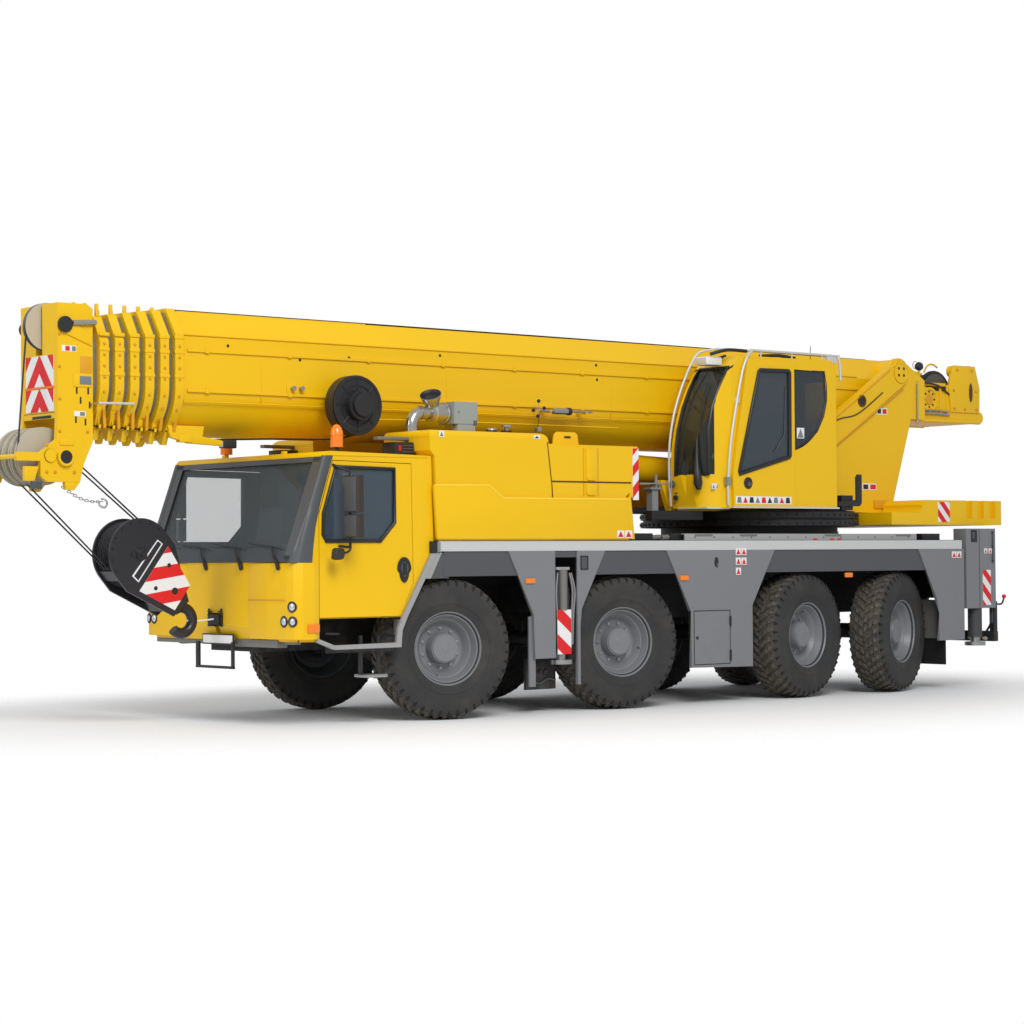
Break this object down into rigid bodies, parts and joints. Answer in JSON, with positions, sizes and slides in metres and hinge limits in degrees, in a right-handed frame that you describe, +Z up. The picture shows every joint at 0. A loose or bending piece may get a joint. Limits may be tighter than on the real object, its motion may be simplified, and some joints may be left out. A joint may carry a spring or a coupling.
{
  "type": "mobile crane",
  "caption": "Four-axle mobile crane in travel position: steered carrier with cab and outriggers, slewing turntable with crane cab, telescopic boom and hook block.",
  "frame": {"origin": "middle of the footprint box on the ground", "axes": "-X towards the carrier cab and boom head, -Y to the vehicle's left, +Z up"},
  "size_m": [13.5804, 3.36, 4.015],
  "materials": {
    "crane_yellow": "gloss paint",
    "grey_paint": "satin paint",
    "deck_grey": "satin paint",
    "silver_frame": "satin",
    "chassis_black": "satin paint",
    "engine_iron": "cast",
    "flap_rubber": "matt",
    "wheel_rubber": "matt",
    "clear_glass": "tinted",
    "cabin_plastic": "matt",
    "lamp_plastic": "gloss",
    "steel_pipe": "brushed",
    "rod_chrome": "polished",
    "sheave_plastic": "satin",
    "block_black": "satin paint"
  },
  "bodies": {
    "carrier": {"chassis_frame": "chassis_black", "axle_beams": "chassis_black", "engine_block": "engine_iron", "deck": "deck_grey", "side_frames": "silver_frame", "side_skirts": "grey_paint", "mudflaps": "flap_rubber", "slewing_ring": "chassis_black", "carrier_cab_shell": "crane_yellow", "carrier_cab_glass": "clear_glass", "cab_interior": "cabin_plastic", "carrier_lamps": "lamp_plastic", "engine_fairings": "crane_yellow", "exhaust_and_intake": "steel_pipe"},
    "cab_door_left": {"cab_door_left": "crane_yellow"},
    "cab_door_right": {"cab_door_right": "crane_yellow"},
    "knuckle_1_left": {"knuckle_1_left": "chassis_black"},
    "wheel_1_left": {"wheel_1_left": "wheel_rubber"},
    "knuckle_1_right": {"knuckle_1_right": "chassis_black"},
    "wheel_1_right": {"wheel_1_right": "wheel_rubber"},
    "knuckle_2_left": {"knuckle_2_left": "chassis_black"},
    "wheel_2_left": {"wheel_2_left": "wheel_rubber"},
    "knuckle_2_right": {"knuckle_2_right": "chassis_black"},
    "wheel_2_right": {"wheel_2_right": "wheel_rubber"},
    "knuckle_3_left": {"knuckle_3_left": "chassis_black"},
    "wheel_3_left": {"wheel_3_left": "wheel_rubber"},
    "knuckle_3_right": {"knuckle_3_right": "chassis_black"},
    "wheel_3_right": {"wheel_3_right": "wheel_rubber"},
    "knuckle_4_left": {"knuckle_4_left": "chassis_black"},
    "wheel_4_left": {"wheel_4_left": "wheel_rubber"},
    "knuckle_4_right": {"knuckle_4_right": "chassis_black"},
    "wheel_4_right": {"wheel_4_right": "wheel_rubber"},
    "outrigger_beam_front_left": {"outrigger_beam_front_left": "grey_paint"},
    "outrigger_jack_front_left": {"outrigger_jack_front_left": "rod_chrome"},
    "outrigger_beam_front_right": {"outrigger_beam_front_right": "grey_paint"},
    "outrigger_jack_front_right": {"outrigger_jack_front_right": "rod_chrome"},
    "outrigger_beam_rear_left": {"outrigger_beam_rear_left": "grey_paint"},
    "outrigger_jack_rear_left": {"outrigger_jack_rear_left": "rod_chrome"},
    "outrigger_beam_rear_right": {"outrigger_beam_rear_right": "grey_paint"},
    "outrigger_jack_rear_right": {"outrigger_jack_rear_right": "rod_chrome"},
    "superstructure": {"turntable": "crane_yellow", "counterweight": "crane_yellow", "support_post": "grey_paint"},
    "crane_cab": {"crane_cab_shell": "crane_yellow", "crane_cab_glass": "clear_glass", "crane_cab_seat": "cabin_plastic"},
    "crane_cab_door": {"crane_cab_door": "crane_yellow"},
    "boom_base": {"boom_base": "crane_yellow"},
    "boom_section_1": {"boom_section_1": "crane_yellow"},
    "boom_section_2": {"boom_section_2": "crane_yellow"},
    "boom_section_3": {"boom_section_3": "crane_yellow"},
    "boom_section_4": {"boom_section_4": "crane_yellow"},
    "boom_section_5": {"boom_section_5": "crane_yellow"},
    "boom_head": {"boom_head": "crane_yellow", "sheaves": "sheave_plastic"},
    "luff_barrel": {"luff_barrel": "crane_yellow"},
    "luff_rod": {"luff_rod": "rod_chrome"},
    "hook_block": {"hook_block": "block_black"},
    "hook": {"hook": "block_black"}
  },
  "joints": [
    {"name": "cab_door_left_hinge", "type": "hinge", "parent": "carrier", "child": "cab_door_left", "pos_m": [-4.13, -1.337, 1.5], "axis": [0, 0, -1], "range_deg": [0, 75]},
    {"name": "cab_door_right_hinge", "type": "hinge", "parent": "carrier", "child": "cab_door_right", "pos_m": [-4.13, 1.337, 1.5], "axis": [0, 0, 1], "range_deg": [0, 75]},
    {"name": "steer_1_left", "type": "hinge", "parent": "carrier", "child": "knuckle_1_left", "pos_m": [-2.49, -0.99, 0.705], "axis": [0, 0, 1], "range_deg": [-17, 43]},
    {"name": "roll_1_left", "type": "hinge", "parent": "knuckle_1_left", "child": "wheel_1_left", "pos_m": [-2.52374, -1.13616, 0.705], "axis": [0.225, 0.9744, 0], "continuous": true},
    {"name": "steer_1_right", "type": "hinge", "parent": "carrier", "child": "knuckle_1_right", "pos_m": [-2.49, 0.99, 0.705], "axis": [0, 0, 1], "range_deg": [-17, 43]},
    {"name": "roll_1_right", "type": "hinge", "parent": "knuckle_1_right", "child": "wheel_1_right", "pos_m": [-2.45626, 1.13616, 0.705], "axis": [0.225, 0.9744, 0], "continuous": true},
    {"name": "steer_2_left", "type": "hinge", "parent": "carrier", "child": "knuckle_2_left", "pos_m": [-0.17, -0.99, 0.705], "axis": [0, 0, 1], "range_deg": [-12.75, 32.25]},
    {"name": "roll_2_left", "type": "hinge", "parent": "knuckle_2_left", "child": "wheel_2_left", "pos_m": [-0.19605, -1.13772, 0.705], "axis": [0.1736, 0.9848, 0], "continuous": true},
    {"name": "steer_2_right", "type": "hinge", "parent": "carrier", "child": "knuckle_2_right", "pos_m": [-0.17, 0.99, 0.705], "axis": [0, 0, 1], "range_deg": [-12.75, 32.25]},
    {"name": "roll_2_right", "type": "hinge", "parent": "knuckle_2_right", "child": "wheel_2_right", "pos_m": [-0.14395, 1.13772, 0.705], "axis": [0.1736, 0.9848, 0], "continuous": true},
    {"name": "steer_3_left", "type": "hinge", "parent": "carrier", "child": "knuckle_3_left", "pos_m": [2.54, -0.99, 0.705], "axis": [0, 0, 1], "range_deg": [-23, 5]},
    {"name": "roll_3_left", "type": "hinge", "parent": "knuckle_3_left", "child": "wheel_3_left", "pos_m": [2.56346, -1.13815, 0.705], "axis": [-0.1564, 0.9877, 0], "continuous": true},
    {"name": "steer_3_right", "type": "hinge", "parent": "carrier", "child": "knuckle_3_right", "pos_m": [2.54, 0.99, 0.705], "axis": [0, 0, 1], "range_deg": [-23, 5]},
    {"name": "roll_3_right", "type": "hinge", "parent": "knuckle_3_right", "child": "wheel_3_right", "pos_m": [2.51654, 1.13815, 0.705], "axis": [-0.1564, 0.9877, 0], "continuous": true},
    {"name": "steer_4_left", "type": "hinge", "parent": "carrier", "child": "knuckle_4_left", "pos_m": [4.11, -0.99, 0.705], "axis": [0, 0, 1], "range_deg": [-46, 10]},
    {"name": "roll_4_left", "type": "hinge", "parent": "knuckle_4_left", "child": "wheel_4_left", "pos_m": [4.15635, -1.13266, 0.705], "axis": [-0.309, 0.9511, 0], "continuous": true},
    {"name": "steer_4_right", "type": "hinge", "parent": "carrier", "child": "knuckle_4_right", "pos_m": [4.11, 0.99, 0.705], "axis": [0, 0, 1], "range_deg": [-46, 10]},
    {"name": "roll_4_right", "type": "hinge", "parent": "knuckle_4_right", "child": "wheel_4_right", "pos_m": [4.06365, 1.13266, 0.705], "axis": [-0.309, 0.9511, 0], "continuous": true},
    {"name": "extend_front_left", "type": "slide", "parent": "carrier", "child": "outrigger_beam_front_left", "axis": [0, -1, 0], "range_m": [0, 2]},
    {"name": "jack_front_left", "type": "slide", "parent": "outrigger_beam_front_left", "child": "outrigger_jack_front_left", "axis": [0, 0, -1], "range_m": [0, 0.6]},
    {"name": "extend_front_right", "type": "slide", "parent": "carrier", "child": "outrigger_beam_front_right", "axis": [0, 1, 0], "range_m": [0, 2]},
    {"name": "jack_front_right", "type": "slide", "parent": "outrigger_beam_front_right", "child": "outrigger_jack_front_right", "axis": [0, 0, -1], "range_m": [0, 0.6]},
    {"name": "extend_rear_left", "type": "slide", "parent": "carrier", "child": "outrigger_beam_rear_left", "axis": [0, -1, 0], "range_m": [0, 2]},
    {"name": "jack_rear_left", "type": "slide", "parent": "outrigger_beam_rear_left", "child": "outrigger_jack_rear_left", "axis": [0, 0, -1], "range_m": [0, 0.6]},
    {"name": "extend_rear_right", "type": "slide", "parent": "carrier", "child": "outrigger_beam_rear_right", "axis": [0, 1, 0], "range_m": [0, 2]},
    {"name": "jack_rear_right", "type": "slide", "parent": "outrigger_beam_rear_right", "child": "outrigger_jack_rear_right", "axis": [0, 0, -1], "range_m": [0, 0.6]},
    {"name": "slew", "type": "hinge", "parent": "carrier", "child": "superstructure", "pos_m": [3.01, 0, 2.0995], "axis": [0, 0, 1], "continuous": true},
    {"name": "crane_cab_tilt", "type": "hinge", "parent": "superstructure", "child": "crane_cab", "pos_m": [3.215, -0.967, 2.2], "axis": [0, 1, 0], "range_deg": [0, 20]},
    {"name": "crane_cab_door_slide", "type": "slide", "parent": "crane_cab", "child": "crane_cab_door", "axis": [1, 0, 0], "range_m": [0, 0.8]},
    {"name": "luff", "type": "hinge", "parent": "superstructure", "child": "boom_base", "pos_m": [5, 0, 3.814], "axis": [0, 1, 0], "range_deg": [0, 82]},
    {"name": "telescope_1", "type": "slide", "parent": "boom_base", "child": "boom_section_1", "axis": [-1, 0, 0], "range_m": [0, 8.1]},
    {"name": "telescope_2", "type": "slide", "parent": "boom_section_1", "child": "boom_section_2", "axis": [-1, 0, 0], "range_m": [0, 8.1]},
    {"name": "telescope_3", "type": "slide", "parent": "boom_section_2", "child": "boom_section_3", "axis": [-1, 0, 0], "range_m": [0, 8.1]},
    {"name": "telescope_4", "type": "slide", "parent": "boom_section_3", "child": "boom_section_4", "axis": [-1, 0, 0], "range_m": [0, 8.1]},
    {"name": "telescope_5", "type": "slide", "parent": "boom_section_4", "child": "boom_section_5", "axis": [-1, 0, 0], "range_m": [0, 8.1]},
    {"name": "telescope_6", "type": "slide", "parent": "boom_section_5", "child": "boom_head", "axis": [-1, 0, 0], "range_m": [0, 8.1]},
    {"name": "luff_barrel_swing", "type": "hinge", "parent": "superstructure", "child": "luff_barrel", "pos_m": [3.56, 0, 2.5], "axis": [0, 1, 0], "range_deg": [0, 84.37]},
    {"name": "luff_rod_slide", "type": "slide", "parent": "luff_barrel", "child": "luff_rod", "axis": [-0.9992, 0, 0.0409], "range_m": [0, 2.564]},
    {"name": "hook_swing", "type": "hinge", "parent": "boom_head", "child": "hook_block", "pos_m": [-6.44, 0, 2.57], "axis": [0, -1, 0], "range_deg": [-70, 0]},
    {"name": "hook_swivel", "type": "hinge", "parent": "hook_block", "child": "hook", "pos_m": [-5.04861, 0, 1.27698], "axis": [0.6428, 0, -0.766], "continuous": true}
  ],
  "couplings": [
    {"joint": "steer_1_right", "follows": "steer_1_left", "ratio": 1},
    {"joint": "steer_2_left", "follows": "steer_1_left", "ratio": 0.75},
    {"joint": "steer_2_right", "follows": "steer_1_left", "ratio": 0.75},
    {"joint": "steer_3_left", "follows": "steer_4_left", "ratio": 0.5},
    {"joint": "steer_3_right", "follows": "steer_4_left", "ratio": 0.5},
    {"joint": "steer_4_right", "follows": "steer_4_left", "ratio": 1},
    {"joint": "luff_barrel_swing", "follows": "luff", "ratio": 1.0228},
    {"joint": "luff_rod_slide", "follows": "luff", "m_per_rad": 1.7844}
  ]
}
